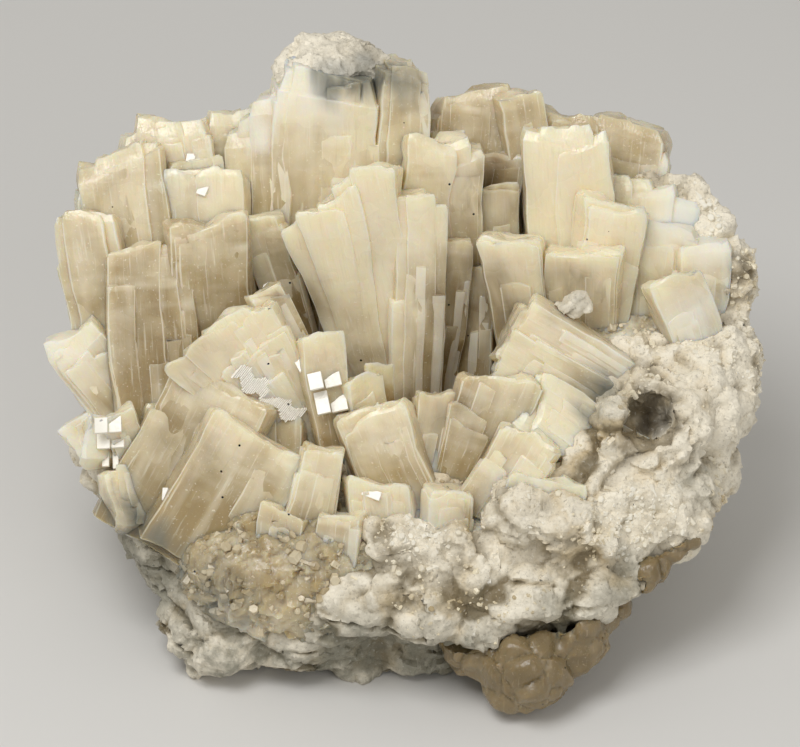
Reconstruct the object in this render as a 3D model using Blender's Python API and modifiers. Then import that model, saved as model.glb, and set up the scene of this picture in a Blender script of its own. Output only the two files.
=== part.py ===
"""Witherite specimen: blocky, milky crystals that fan out of a hollow in pale rock, about 144 mm across.

The specimen stands on a flat worn base at z = 0. Its display face looks forward and up, so the crystals are
laid out on that face, in millimetres: across (to the right), up (along the face) and out (off the face).
Everything else is laid out in millimetres on the object's own axes: x to the right, y to the back, z up.
"""

import math
from collections import namedtuple

import bmesh
import bpy
from mathutils import Matrix, Vector, noise

MM = 0.001
DISPLAY_TILT = math.radians(35)  # how far the display face leans back
CENTRE_HEIGHT = 50.6  # height of the middle of the display face above the base
GAP = 0.3  # clearance that meshes of touching pieces keep

COLUMN_OVERLAP = 1.3  # neighbouring columns of a crystal share this much of their width
COLUMN_TWIST = math.radians(4)
SHOULDER_INSET = 0.24  # how far the crystal's end pulls in, in half widths
ROCK_VOXEL = 2.4
ROCK_FACES = 2250
NODULE_VOXEL = 1.3
NODULE_FACES = 440
CRUST_VOXEL = 1.1
CRUST_FACES = 240
FLAT_ANGLE = math.radians(3)

# A crystal: where it is rooted and where it ends on the display face, its width and depth at the tip, how many
# parallel columns it is made of, its width at the root as a share of the width at the tip, where across its
# width the tallest column stands (0 left, 1 right), how much shorter the column furthest from it is, how far it
# is turned about its own axis, and how blunt its end is.
Crystal = namedtuple(
    "Crystal",
    "name foot tip width depth columns taper crown step turn shoulder",
    defaults=(2, 0.85, 0.5, 4.0, 0, 2.0),
)

TOWER = [
    Crystal("tower_body", (-15, 12, -27), (-14.5, 63, -7), 25, 25, 2, 1.12, 0.3, 2, 0, 4),
    Crystal("tower_right", (-1, 18, -22), (0.3, 62.5, -5), 10, 17, 2, 1.0, 0.3, 1.5, 12, 2.5),
    Crystal("tower_left", (-26, 6, -26), (-29, 55, -10), 14, 19, 2, 1.1, 1.0, 8, -14, 4),
]

CENTRE_FAN = [
    Crystal("fan_front", (-4, -1, -12), (-12.5, 38.5, 5), 28, 13, 3, 0.42, 1.0, 8, -6, 1.5),
    Crystal("fan_right", (3.5, -2, -10), (4, 36, 4), 9, 9, 2, 0.8, 0.2, 4, 8, 1.5),
    Crystal("fan_back", (8, 4, -20), (8, 48, -4), 15, 13, 2, 0.85, 0.3, 6, 6, 3),
    Crystal("fan_low_right", (8, -4, -16), (10.5, 26, -4), 8, 8, 2, 0.8, 0.0, 5, 14, 1.5),
    Crystal("fan_left", (-20, 6, -18), (-28, 31, -5), 10, 9, 2, 0.8, 0.0, 3, -16, 1.5),
]

LEFT_WALL = [
    Crystal("wall_edge", (-56, -12, -14), (-63, 33, -4), 11.5, 13, 2, 1.1, 0.6, 1.5, -12, 3),
    Crystal("wall_main", (-50, -12, -14), (-56, 46, -8), 15, 14, 2, 0.95, 0.7, 4, -8, 4),
    Crystal("wall_face", (-48, -22, -3), (-50.5, 27, 0), 17, 9, 2, 0.9, 0.2, 4, 4, 1.5),
    Crystal("wall_behind", (-43, 6, -22), (-48, 51, -12), 16, 14, 2, 0.95, 0.6, 2.5, -4, 3),
    Crystal("wall_back", (-33, 10, -25), (-37, 52, -16), 12, 13, 2, 1.0, 1.0, 3, 6, 3),
    Crystal("wall_block", (-36, -8, -13), (-39, 29.5, 1), 15.5, 12, 2, 0.9, 0.5, 0.6, 3, 1),
    Crystal("wall_step", (-38, 10, -18), (-41, 43, -8), 9, 9, 2, 0.9, 0.0, 5, 12, 1.5),
]

LEFT_EDGE = [
    Crystal("edge_knob", (-58, -6, -9), (-68.5, 9, -1), 13, 13, 1, 0.9, 0.4, 3, 0, 4),
    Crystal("edge_low", (-57, -8, -9), (-67, -14, -2), 8, 8, 1, 0.9, 0.5, 2, 0, 2.5),
    Crystal("edge_foot", (-54, -14, -8), (-62, -14, 3), 9, 8, 1, 0.9, 0.5, 2, 20, 2),
    Crystal("edge_bright", (-51, -24, -6), (-57, -8, 7), 7.5, 8, 2, 0.9, 0.6, 2, 6, 1),
    Crystal("edge_under", (-46, -26, -6), (-56, -26, 4), 11, 11, 1, 0.9, 0.5, 3, 14, 3),
]

FRONT_LEFT = [
    Crystal("slant_behind", (-50, -33, -1), (-33, -1, 7), 25, 16, 2, 0.95, 0.3, 4, -8, 2),
    Crystal("slant_front", (-42, -36, 5), (-28, -12, 13), 20, 13, 1, 1.0, 0.4, 3, 4, 1.5),
    Crystal("striated", (-17, -15, 0), (-36, 9, 13), 27, 9, 4, 0.42, 0.45, 3.5, -8, 1.2),
    Crystal("striated_edge", (-16, -5, -2), (-28, 17.5, 8), 8, 8, 2, 0.9, 0.3, 3, 12, 1),
    Crystal("bright_block", (-12, -15, 4), (-16.5, 8, 13), 8.5, 8, 1, 0.9, 0.6, 2, 10, 1.5),
    Crystal("bright_foot", (-6, -15, 2), (-7.5, -1, 10), 7, 6, 1, 0.9, 0.5, 2, 26, 1),
    Crystal("blade", (-3, -10, 0), (-4, 1.5, 8.5), 5, 2, 1, 0.6, 0.5, 0, 24, 1),
]

FRONT = [
    Crystal("peak", (2, -27, 2), (-5.5, -7, 12), 16, 12, 2, 1.1, 0.3, 3, -4, 2),
    Crystal("upright", (5, -27, 0), (8.5, -4.5, 9), 11, 9, 2, 0.9, 0.3, 0.8, 8, 0.8),
    Crystal("leaning", (11, -24, 3), (20.5, -1, 12), 14, 10, 1, 0.6, 0.5, 3, 4, 2),
    Crystal("leaning_low", (17, -28, 8), (26, -13, 15), 11, 9, 1, 0.9, 0.4, 3, -6, 2),
    Crystal("broken_tall", (-21, -40, 9), (-14.5, -13, 17), 10, 8, 2, 1.1, 0.6, 3, 10, 1),
    Crystal("broken_low", (-13, -42, 12), (-11.5, -28, 19), 8, 7, 1, 1.0, 0.6, 2, -14, 1),
    Crystal("broken_left", (-25, -44, 8), (-22.5, -27, 17), 9, 8, 1, 1.0, 0.4, 3, -12, 1),
    Crystal("shards", (-4, -38, 6), (-4, -20, 14), 14, 10, 2, 1.0, 0.3, 4, 6, 1),
    Crystal("shard_right", (8, -36, 8), (9.5, -22, 14), 10, 9, 2, 1.0, 0.6, 4, 12, 1.5),
    Crystal("front_fill", (22, -38, 4), (29, -22, 15), 14, 11, 1, 1.0, 0.5, 3, 4, 3),
]

BACK_RIGHT = [
    Crystal("ridge_peak", (11, 16, -26), (14.5, 58, -16), 17, 13, 2, 0.9, 0.7, 5, 8, 4),
    Crystal("ridge_front", (15, 10, -24), (18.5, 46, -14), 13, 11, 1, 0.9, 0.2, 3, 2, 2),
    Crystal("ridge_small", (28, 30, -20), (23.5, 56, -12), 9, 9, 1, 0.9, 0.6, 2, 10, 1.5),
    Crystal("ridge_right", (31, 20, -26), (34, 53, -19), 17, 14, 2, 0.9, 0.4, 2, 0, 3),
    Crystal("ridge_far_right", (43, 16, -26), (47, 50.5, -20), 18, 14, 2, 0.9, 0.0, 6, -6, 4),
    Crystal("block_main", (35, 8, -16), (32.8, 49, -3), 20.5, 14, 1, 0.8, 0.35, 1.5, 0, 3),
    Crystal("block_right", (39, 8, -10), (42.5, 34.5, 1), 15, 12, 2, 0.8, 0.3, 2, 8, 1.5),
    Crystal("block_low", (37, 8, -8), (36.5, 25, 4), 16, 9, 2, 0.8, 0.6, 3, -5, 1.5),
    Crystal("block_left", (26, 2, -9), (22, 26.5, 3), 13.5, 11, 1, 0.75, 0.6, 1.5, -6, 1),
    Crystal("recess_steps", (20, 10, -20), (19.3, 38.5, -9), 8.5, 9, 2, 0.9, 0.8, 3, 6, 1),
    Crystal("recess_wall", (15, -2, -18), (15.5, 22, -9), 9, 9, 2, 0.9, 0.7, 5, -8, 1),
]

RIGHT = [
    Crystal("sheaf", (54, -11, -1), (21, 8, 8), 19, 14, 3, 0.9, 0.5, 3, -6, 1.5),
    Crystal("sheaf_low", (48, -20, 2), (24, -5.5, 9), 15, 13, 2, 0.9, 0.3, 4, 6, 2.5),
    Crystal("right_body", (50, 4, -14), (51, 32, -6), 20, 14, 2, 0.9, 0.2, 6, 4, 4),
    Crystal("right_block", (62, 0, -4), (53.5, 18.5, 5), 10, 9, 1, 0.9, 0.3, 2, 8, 1.5),
    Crystal("right_wall", (60, 0, -14), (60, 26, -6), 12, 13, 2, 0.9, 0.0, 4, 10, 3),
]

# Crystals of the unseen back and far left, which end short and blunt where the specimen was prised off the wall.
BACK = [
    Crystal("back_tower", (-12, 18, -30), (-14, 52, -25), 22, 14, 2, 1.0, 0.5, 6, 184, 4),
    Crystal("back_left", (-34, 8, -32), (-36, 36, -27), 20, 12, 2, 0.9, 0.4, 6, 176, 3),
    Crystal("back_middle", (6, 10, -36), (8, 42, -32), 22, 12, 2, 0.9, 0.3, 7, 187, 4),
    Crystal("back_right", (30, 8, -36), (30, 38, -31), 20, 12, 2, 0.9, 0.6, 6, 174, 3),
    Crystal("back_corner", (50, 6, -26), (54, 28, -20), 15, 12, 1, 0.9, 0.4, 6, 150, 3),
    Crystal("left_corner", (-54, 0, -22), (-60, 20, -16), 15, 12, 1, 0.9, 0.4, 6, 215, 3),
]

CRYSTALS = (
    TOWER + CENTRE_FAN + LEFT_WALL + LEFT_EDGE + FRONT_LEFT + FRONT + BACK_RIGHT + RIGHT + BACK
)

# Rounded masses, each a centre and three radii on the object's own axes.
DRUSE = [
    ((0, 8, 26), (42, 28, 11)),
    ((-19, -29, 23), (25, 13, 14)),
    ((-42, 16, 39), (20, 17, 20)),
    ((6, 36, 54), (44, 11, 20)),
    ((46, 12, 42), (21, 20, 16)),
    ((4, -25, 25), (32, 12, 9)),
]
ROCK = [
    ((-3, 3, 19), (54, 39, 22)),
    ((-44, 8, 27), (20, 26, 17)),
    ((45.5, 3, 36), (24, 27, 21)),
    ((2, 36, 44), (48, 13, 33)),
    ((50, 27, 50), (17, 14, 17)),
    ((8, -34, 22), (42, 11, 10)),
    ((42, -20, 33), (20, 14, 13)),
    ((-22.5, -27, 9), (25.5, 13, 10)),
    ((-44, -14, 20), (12, 12, 11)),
    ((-4, 0, 4), (40, 36, 12)),
    ((60, 6, 46), (12.5, 18, 14)),
    ((48, -11, 46), (16, 14, 9)),
    ((34, -29, 35), (13, 9, 8)),
    ((-0.5, -36, 34), (6.5, 6, 6)),
    ((9, -37, 33), (8, 6, 7)),
    ((26, -31, 38), (9, 6, 5)),
]
RIM_NODULES = [
    ((52, 33, 75), (5, 4, 4)),
    ((57, 31, 70.5), (6, 5, 5)),
    ((61.5, 27, 66), (5.5, 6, 6)),
    ((66, 18, 61), (5, 7, 7)),
]
VUG = ((-3, 6, 76), (52, 35, 50))
HOLE = ((49, -17, 51), (6.5, 6.5, 7))  # the small cavity in the rock on the right
UNDERSIDE_NODULES = [
    ((25, -42, 9.8), (10, 10, 9.8)),
    ((15, -38, 12), (7, 7, 7.5)),
    ((35, -38, 15), (7, 7, 7.5)),
    ((44, -31, 25), (9, 5.5, 5.5)),
    ((54, -26, 30), (6, 5, 5)),
    ((30, -31, 16), (16, 9, 7)),
]
TOWER_CRUST = [
    ((-14.5, 41, 99), (10, 8, 3.6)),
    ((-20, 40, 97.5), (6, 7, 3.4)),
    ((-7, 42, 97.5), (5, 6, 3)),
]
CRUMB = [
    ((33, 0.5, 65.5), (3.2, 2.4, 2.4)),
    ((30.5, -0.5, 64), (2.2, 2.0, 2.2)),
    ((36, 1.5, 66.5), (2.4, 2.0, 1.8)),
]

CRYSTAL_COLOUR = (0.80, 0.71, 0.54, 1)
ROCK_COLOUR = (0.72, 0.69, 0.62, 1)
NODULE_COLOUR = (0.62, 0.50, 0.35, 1)
CRUST_COLOUR = (0.83, 0.81, 0.76, 1)


def clear_scene():
    for thing in list(bpy.data.objects):
        bpy.data.objects.remove(thing)


def new_collection(name):
    made = bpy.data.collections.new(name)
    bpy.context.scene.collection.children.link(made)
    return made


def material(name, colour, roughness):
    made = bpy.data.materials.new(name)
    made.use_nodes = True
    shader = made.node_tree.nodes["Principled BSDF"]
    shader.inputs["Base Color"].default_value = colour
    shader.inputs["Roughness"].default_value = roughness
    shader.inputs["Metallic"].default_value = 0
    return made


def on_display(across, up, out):
    """The place of a point of the display face, in metres."""
    lean, rise = math.sin(DISPLAY_TILT), math.cos(DISPLAY_TILT)
    return Vector((across, up * lean - out * rise, CENTRE_HEIGHT + up * rise + out * lean)) * MM


def jitter(seed, salt):
    """A fixed, uneven number from -1 to 1 for the given pair."""
    value = math.sin(seed * 12.9898 + salt * 78.233) * 43758.5453
    return 2 * (value - math.floor(value)) - 1


def mesh_object(name, shape, collection):
    mesh = bpy.data.meshes.new(name)
    shape.to_mesh(mesh)
    shape.free()
    made = bpy.data.objects.new(name, mesh)
    collection.objects.link(made)
    return made


def baked(source):
    """The object's mesh with its modifiers applied, as a bmesh."""
    bpy.context.view_layer.update()
    evaluated = source.evaluated_get(bpy.context.evaluated_depsgraph_get())
    shape = bmesh.new()
    shape.from_mesh(evaluated.data)
    return shape


def settle(source, shape=None):
    """Puts the shape, or what the modifiers make, in place of the object's mesh and modifiers."""
    shape = shape or baked(source)
    source.modifiers.clear()
    shape.to_mesh(source.data)
    shape.free()
    return source


def column(crystal, index, seed):
    """One column of a crystal: a six-sided prism with a broad front face, pulled in at its end."""
    shape = bmesh.new()
    bmesh.ops.create_cone(shape, cap_ends=True, segments=6, radius1=1, radius2=1, depth=1)
    top = [face for face in shape.faces if face.normal.z > 0.9]
    bmesh.ops.inset_individual(shape, faces=top, thickness=SHOULDER_INSET)
    inner = set(top[0].verts)

    foot, tip = on_display(*crystal.foot), on_display(*crystal.tip)
    axis = (tip - foot).normalized()
    seen = on_display(0, 0, 1) - on_display(0, 0, 0)
    front = (seen - axis * seen.dot(axis)).normalized()
    twist = math.radians(crystal.turn) + COLUMN_TWIST * jitter(seed, 1)
    front = Matrix.Rotation(twist, 3, axis) @ front
    side = axis.cross(front)

    width, depth = crystal.width * MM, crystal.depth * MM
    share = index / (crystal.columns - 1) if crystal.columns > 1 else 0.5
    half_width = width / crystal.columns / 2 * (COLUMN_OVERLAP if crystal.columns > 1 else 1)
    sideways = (share - 0.5) * (width - 2 * half_width)
    half_depth = depth / 2 * (0.9 + 0.1 * jitter(seed, 2))
    forward = depth * 0.07 * jitter(seed, 3)
    drop = crystal.step * abs(share - crystal.crown) + 0.6 * (1 + jitter(seed, 4))
    length = (tip - foot).length - drop * MM
    shoulder = crystal.shoulder * MM / length
    slope = half_width * 0.22 * jitter(seed, 5) / length
    corner = 0.66 + 0.1 * jitter(seed, 6)

    for vert in shape.verts:
        deep, wide, along = vert.co.x, vert.co.y, vert.co.z + 0.5
        if vert not in inner:
            deep = math.copysign(1, deep) if abs(wide) < 0.9 else 0
            wide = math.copysign(corner if deep else 1, wide)
        if along > 0.5:
            along = (1 if vert in inner else 1 - shoulder) + slope * wide
        grow = crystal.taper + (1 - crystal.taper) * along
        vert.co = (
            foot
            + axis * (along * length)
            + side * ((sideways + wide * half_width) * grow)
            + front * ((forward + deep * half_depth) * grow)
        )
    return shape


def blob(centre, radii, roundness=3):
    shape = bmesh.new()
    place = Matrix.Translation(Vector(centre) * MM) @ Matrix.Diagonal((*(Vector(radii) * MM), 1))
    bmesh.ops.create_icosphere(shape, subdivisions=roundness, radius=1, matrix=place)
    return shape


def joined(shapes):
    """Several bmeshes put into one, side by side."""
    whole = bmesh.new()
    for shape in shapes:
        part = bpy.data.meshes.new("part")
        shape.to_mesh(part)
        shape.free()
        whole.from_mesh(part)
        bpy.data.meshes.remove(part)
    return whole


def neighbours(face):
    """The faces that share a plain edge, one with two faces, with this face."""
    return {other for side in face.edges if len(side.link_faces) == 2 for other in side.link_faces}


def keep_largest(shape):
    """Drops every shell but the largest, such as a pocket sealed between crystals or a crumb that was cut loose."""
    shells, waiting = [], set(shape.faces)
    while waiting:
        first = waiting.pop()
        shell, rim = {first}, [first]
        while rim:
            near = {other for face in rim for other in neighbours(face)} & waiting
            waiting -= near
            shell |= near
            rim = list(near)
        shells.append(shell)
    largest = max(shells, key=len)
    loose = [face for face in shape.faces if face not in largest]
    bmesh.ops.delete(shape, geom=loose, context="FACES")
    bare = [vert for vert in shape.verts if not vert.link_faces]
    bmesh.ops.delete(shape, geom=bare, context="VERTS")
    return shape


def lump_mass(name, lumps, voxel, faces, collection, weather=None):
    """Rounded masses grown into one body, roughened, and thinned to about the given number of triangles."""
    mass = mesh_object(name, joined(blob(*lump) for lump in lumps), collection)
    remesh = mass.modifiers.new("grown_together", "REMESH")
    remesh.mode = "VOXEL"
    remesh.voxel_size = voxel * MM
    settle(mass)
    if weather:
        shape = baked(mass)
        shape.normal_update()
        pushes = [(vert, vert.normal * weather(vert.co / MM) * MM) for vert in shape.verts]
        for vert, push in pushes:
            vert.co += push
        settle(mass, shape)
    shape = baked(mass)
    bmesh.ops.triangulate(shape, faces=shape.faces)
    total = len(shape.faces)
    settle(mass, shape)
    thin = mass.modifiers.new("thinned", "DECIMATE")
    thin.ratio = min(1, faces / total)
    return settle(mass)


def rock_surface(place):
    """How far the rock's skin stands out at a place, in millimetres: lumps, pits, and the ledges of its layers."""
    broad = 2.6 * noise.noise(place / 19 + Vector((2, 9, 4)))
    lumps = 2.0 * noise.noise(place / 11) + 1.2 * noise.noise(place / 5 + Vector((7, 3, 1)))
    layer = (place.z + 0.22 * place.x - 4 * noise.noise(place / 24)) / 7.5
    ledge = 1.5 * (layer - math.floor(layer)) - 0.75
    low = max(0, min(1, (42 - place.z) / 14))
    return broad + lumps + ledge * low


def crust_surface(place):
    return 0.7 * noise.noise(place / 2.6)


def nodule_surface(place):
    return 0.7 * noise.noise(place / 6)


def boolean(target, operation, other, solver="EXACT"):
    """Joins or cuts the target with an object or with all of a collection, and keeps the result."""
    cut = target.modifiers.new(operation.lower(), "BOOLEAN")
    cut.operation = operation
    cut.solver = solver
    if isinstance(other, bpy.types.Collection):
        cut.operand_type = "COLLECTION"
        cut.collection = other
    else:
        cut.object = other
    shape = baked(target)
    bmesh.ops.remove_doubles(shape, verts=shape.verts, dist=0.01 * MM)
    keep_largest(shape)
    return settle(target, shape)


def cut_with_gap(target, cutter, helpers):
    """Cuts the target where the cutter is, leaving the gap between the two."""
    swollen = cutter.copy()
    swollen.data = cutter.data.copy()
    helpers.objects.link(swollen)
    grow = swollen.modifiers.new("gap", "DISPLACE")
    grow.strength = GAP * 1.6 * MM
    grow.mid_level = 0
    settle(swollen)
    # The swollen rock folds over itself in its pits, where the exact solver loses the inside of the cutter.
    boolean(target, "DIFFERENCE", swollen, solver="MANIFOLD")


def cut_flat(target):
    """Takes off what lies below the base plane and closes the cut."""
    shape = baked(target)
    geometry = shape.verts[:] + shape.edges[:] + shape.faces[:]
    cut = bmesh.ops.bisect_plane(
        shape, geom=geometry, dist=1e-7, plane_co=(0, 0, 0), plane_no=(0, 0, 1), clear_inner=True
    )
    rim = [item for item in cut["geom_cut"] if isinstance(item, bmesh.types.BMEdge)]
    bmesh.ops.holes_fill(shape, edges=rim)
    bmesh.ops.recalc_face_normals(shape, faces=shape.faces)
    return settle(target, shape)


def tidy(target):
    """Merges flat neighbours and leaves triangles."""
    shape = baked(target)
    bmesh.ops.dissolve_limit(shape, angle_limit=FLAT_ANGLE, verts=shape.verts, edges=shape.edges)
    bmesh.ops.triangulate(shape, faces=shape.faces)
    settle(target, keep_largest(shape))


def make_rock(parts, helpers):
    rock = lump_mass("matrix", ROCK + RIM_NODULES, ROCK_VOXEL, ROCK_FACES, parts, rock_surface)
    for name, hollow, roundness in (("vug", VUG, 2), ("hole", HOLE, 1)):
        boolean(rock, "DIFFERENCE", mesh_object(name, blob(*hollow, roundness), helpers))
    return cut_flat(rock)


def make_crystals(parts, helpers):
    growth = new_collection("growth")
    growth.hide_render = True
    seed = 0
    for crystal in CRYSTALS:
        for index in range(crystal.columns):
            seed += 1
            mesh_object(f"{crystal.name}_{index}", column(crystal, index, seed), growth)
    for number, lump in enumerate(DRUSE[1:]):
        mesh_object(f"druse_{number}", blob(*lump, roundness=2), growth)
    cluster = mesh_object("witherite_crystals", blob(*DRUSE[0], roundness=2), parts)
    boolean(cluster, "UNION", growth)
    return cluster


def main():
    clear_scene()
    parts = new_collection("witherite_specimen")
    helpers = new_collection("cutters")
    helpers.hide_render = True

    rock = make_rock(parts, helpers)
    crystals = make_crystals(parts, helpers)
    cut_with_gap(crystals, rock, helpers)

    nodules = lump_mass(
        "underside_nodules", UNDERSIDE_NODULES, NODULE_VOXEL, NODULE_FACES, parts, nodule_surface
    )
    cut_with_gap(nodules, rock, helpers)
    cut_with_gap(nodules, crystals, helpers)
    cut_flat(nodules)

    crust = lump_mass("tower_crust", TOWER_CRUST, CRUST_VOXEL, CRUST_FACES, parts, crust_surface)
    crumb = lump_mass("crumb", CRUMB, CRUST_VOXEL / 2, CRUST_FACES / 3, parts, crust_surface)
    for piece in (crust, crumb):
        cut_with_gap(piece, crystals, helpers)

    finishes = {
        rock: material("pale_rock", ROCK_COLOUR, 0.85),
        crystals: material("witherite", CRYSTAL_COLOUR, 0.35),
        nodules: material("tan_witherite", NODULE_COLOUR, 0.45),
        crust: material("white_crust", CRUST_COLOUR, 0.9),
        crumb: material("white_crumb", CRUST_COLOUR, 0.9),
    }
    for piece, finish in finishes.items():
        tidy(piece)
        piece.data.materials.clear()
        piece.data.materials.append(finish)

    growth = bpy.data.collections["growth"]
    for helper in list(growth.objects) + list(helpers.objects):
        bpy.data.objects.remove(helper)


main()
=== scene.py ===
import itertools
import math
import random
from collections import namedtuple

import bmesh
import bpy
import numpy as np
from mathutils import Matrix, Vector
from mathutils.bvhtree import BVHTree


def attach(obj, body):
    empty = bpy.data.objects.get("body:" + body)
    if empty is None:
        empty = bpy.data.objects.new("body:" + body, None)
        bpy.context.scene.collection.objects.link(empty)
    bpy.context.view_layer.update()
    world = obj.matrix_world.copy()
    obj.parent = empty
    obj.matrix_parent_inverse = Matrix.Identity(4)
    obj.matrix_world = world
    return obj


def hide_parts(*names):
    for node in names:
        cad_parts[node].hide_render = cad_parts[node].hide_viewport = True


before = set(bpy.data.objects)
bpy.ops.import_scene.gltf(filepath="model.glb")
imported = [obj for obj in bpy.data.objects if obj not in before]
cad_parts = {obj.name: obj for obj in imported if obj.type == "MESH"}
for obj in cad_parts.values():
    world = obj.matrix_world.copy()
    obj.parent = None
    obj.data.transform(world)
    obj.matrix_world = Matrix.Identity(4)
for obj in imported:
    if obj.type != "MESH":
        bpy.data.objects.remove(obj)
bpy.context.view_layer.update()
mm = 0.001

# The display face leans back; crystals are laid out on it in mm: across, up along it, out from it.
display = {"tilt": 35, "centreHeight": 50.6}


def onDisplay(across, up, out):
    lean = math.sin(math.radians(display["tilt"]))
    rise = math.cos(math.radians(display["tilt"]))
    return Vector((across, up * lean - out * rise, display["centreHeight"] + up * rise + out * lean))


def jitter(seed, salt):  # a fixed uneven number from -1 to 1, the same one the solid model uses
    value = math.sin(seed * 12.9898 + salt * 78.233) * 43758.5453
    return 2 * (value - math.floor(value)) - 1


# Noise on whole arrays of points


def latticeValue(cells, seed):
    mixed = np.sin(cells @ np.array([127.1, 311.7, 74.7]) + seed * 17.31) * 43758.5453
    return mixed - np.floor(mixed)


def softNoise(points, size, seed=0):
    scaled = points / size
    base = np.floor(scaled)
    part = scaled - base
    part = part * part * (3 - 2 * part)
    total = np.zeros(len(points))
    for corner in itertools.product((0, 1), repeat=3):
        corner = np.array(corner)
        weight = np.prod(np.where(corner, part, 1 - part), axis=1)
        total += weight * latticeValue(base + corner, seed)
    return 2 * total - 1


def cellNoise(points, size, seed=0):
    # how near the border of its cell each point is, the cell's number, and a tilted facet across the cell
    scaled = points / size
    base = np.floor(scaled)
    nearest = np.full(len(points), 9.0)
    second = np.full(len(points), 9.0)
    owner = np.zeros_like(points)
    offset = np.zeros_like(points)
    for step in itertools.product((-1, 0, 1), repeat=3):
        cell = base + np.array(step)
        place = np.stack([latticeValue(cell, seed + salt) for salt in (1, 2, 3)], axis=1)
        apart = scaled - cell - place
        away = np.linalg.norm(apart, axis=1)
        closer = away < nearest
        second = np.where(closer, nearest, np.minimum(second, away))
        owner = np.where(closer[:, None], cell, owner)
        offset = np.where(closer[:, None], apart, offset)
        nearest = np.where(closer, away, nearest)
    tilt = np.stack([latticeValue(owner, seed + salt) - 0.5 for salt in (5, 6, 7)], axis=1)
    facet = np.einsum("ij,ij->i", tilt, offset)
    return second - nearest, latticeValue(owner, seed + 4), facet


# Mesh helpers


def pointsOf(mesh):
    flat = np.empty(len(mesh.vertices) * 3)
    mesh.vertices.foreach_get("co", flat)
    return flat.reshape(-1, 3)


def normalsOf(mesh):
    flat = np.empty(len(mesh.vertices) * 3)
    mesh.vertex_normals.foreach_get("vector", flat)
    return flat.reshape(-1, 3)


def setPoints(mesh, points):
    mesh.vertices.foreach_set("co", points.astype(np.float32).ravel())
    mesh.update()


def objectOf(name, mesh):
    made = bpy.data.objects.new(name, mesh)
    bpy.context.scene.collection.objects.link(made)
    return made


def meshFrom(name, shape):
    mesh = bpy.data.meshes.new(name)
    shape.to_mesh(mesh)
    shape.free()
    return mesh


def applied(piece):  # puts what the modifiers make in place of the mesh
    bpy.context.view_layer.update()
    graph = bpy.context.evaluated_depsgraph_get()
    mesh = bpy.data.meshes.new_from_object(piece.evaluated_get(graph))
    old = piece.data
    piece.modifiers.clear()
    piece.data = mesh
    bpy.data.meshes.remove(old)
    return piece


def remeshed(piece, voxel):
    remesh = piece.modifiers.new("grown together", "REMESH")
    remesh.mode = "VOXEL"
    remesh.voxel_size = voxel * mm
    return applied(piece)


def smoothShaded(piece, angle):
    piece.data.shade_smooth()
    piece.data.set_sharp_from_angle(angle=math.radians(angle))
    return piece


def finished(piece, material, slot, *nodes):
    piece.data.materials.clear()
    piece.data.materials.append(material)
    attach(piece, "root")
    if nodes:
        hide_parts(*nodes)
    print(piece.name, sum(len(face.vertices) - 2 for face in piece.data.polygons), "triangles")
    return piece


# Crystals. Each is a bundle of parallel six-sided columns, and each column carries finer growth plates.

grown = namedtuple(
    "grown",
    "name foot tip width depth columns taper crown step turn shoulder plates lift pale hood",
    defaults=(2, 0.85, 0.5, 4.0, 0, 2.0, 2, 0.4, 0.45, 0.75),
)

towerGrowth = [
    grown("towerBody", (-15, 12, -27), (-14.5, 63, -7), 23, 25, 2, 1.2, 0.3, 2, 0, 9, 4, 0.5, 0.7, 0.2),
    grown("towerRight", (-2, 18, -22), (-0.6, 62.5, -5), 11, 17, 3, 1.0, 0.3, 1.5, 12, 5, 2, 0.3, 0.5, 0.2),
    grown("towerLeft", (-24, 6, -26), (-26, 59, -10), 16, 21, 4, 1.1, 1.0, 8, -14, 5, 2, 0.6, 0.5, 0.2),
]
# Crystals that show only between the others and close the gaps
betweenGrowth = [
    grown("wallFill", (-46, -2, -14), (-48, 42, -7), 36, 12, 6, 1.0, 0.7, 8, -4, 3, 0, 0, 0.45),
    grown("middleFill", (-28, 8, -20), (-30, 43, -12), 22, 12, 4, 1.0, 0.6, 5, -4, 3, 0, 0, 0.45),
    grown("recessFill", (13, 14, -24), (13, 43, -15), 20, 10, 4, 1.0, 0.4, 5, 4, 3, 0, 0, 0.45),
    grown("rightFill", (44, 6, -16), (46, 41, -12), 30, 14, 5, 1.0, 0.3, 6, 2, 3, 0, 0, 0.6),
    grown("frontFillLow", (8, -36, -2), (8, -13, 5), 38, 10, 7, 1.0, 0.4, 6, 2, 2, 0, 0, 0.5),
    grown("slabFill", (-36, -34, -4), (-35, -5, 3), 34, 10, 5, 1.0, 0.5, 6, -4, 2, 0, 0, 0.3),
]
centreGrowth = [
    grown("fanFront", (-4, -1, -12), (-12.5, 38.5, 5), 26, 13, 5, 0.42, 1.0, 8, -6, 1.5, 0, 0.3, 1.1),
    grown("fanRight", (3, -12, -14), (4, 36, 4), 11, 9, 3, 0.8, 0.2, 4, 8, 1.5, 2, 0.4, 0.75),
    grown("fanBack", (8, 4, -20), (8, 48, -4), 17, 15, 3, 0.85, 0.3, 6, 6, 3, 1, 0.3, 0.6),
    grown("fanLowRight", (8, -4, -16), (10.5, 26, -4), 8, 8, 2, 0.8, 0.0, 5, 14, 1.5),
    grown("fanLeft", (-20, 6, -18), (-28, 31, -5), 10, 9, 2, 0.8, 0.0, 3, -16, 1.5),
]
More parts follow.
